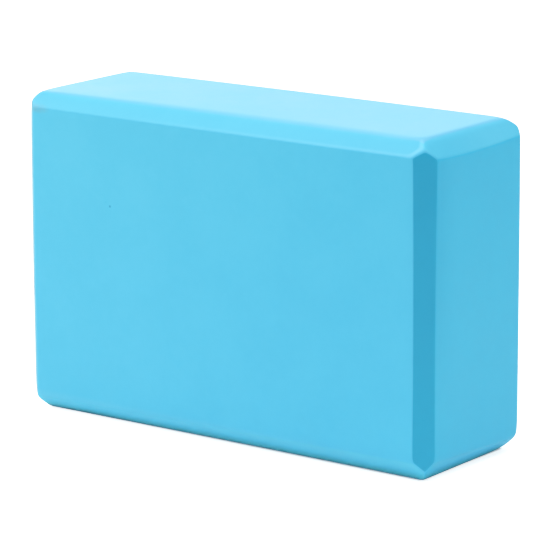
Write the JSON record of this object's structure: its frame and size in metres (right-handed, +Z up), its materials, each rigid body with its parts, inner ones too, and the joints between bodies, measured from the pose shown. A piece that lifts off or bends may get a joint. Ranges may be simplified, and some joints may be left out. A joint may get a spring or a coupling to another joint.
{
  "type": "foam block",
  "caption": "Rectangular closed-cell foam block with bevelled and softened edges, used as a firm, light support, prop or spacer.",
  "frame": {"origin": "centre of the bottom face, the long narrow face that the block stands on", "axes": "+X along the length, to the right as seen from the front; +Y through the thickness, away from the front broad face; +Z up"},
  "size_m": [0.23, 0.078, 0.151],
  "materials": {
    "foam": "matte closed-cell foam skin with a very fine grain"
  },
  "bodies": {
    "root": {"foam_block": "foam"}
  },
  "joints": []
}
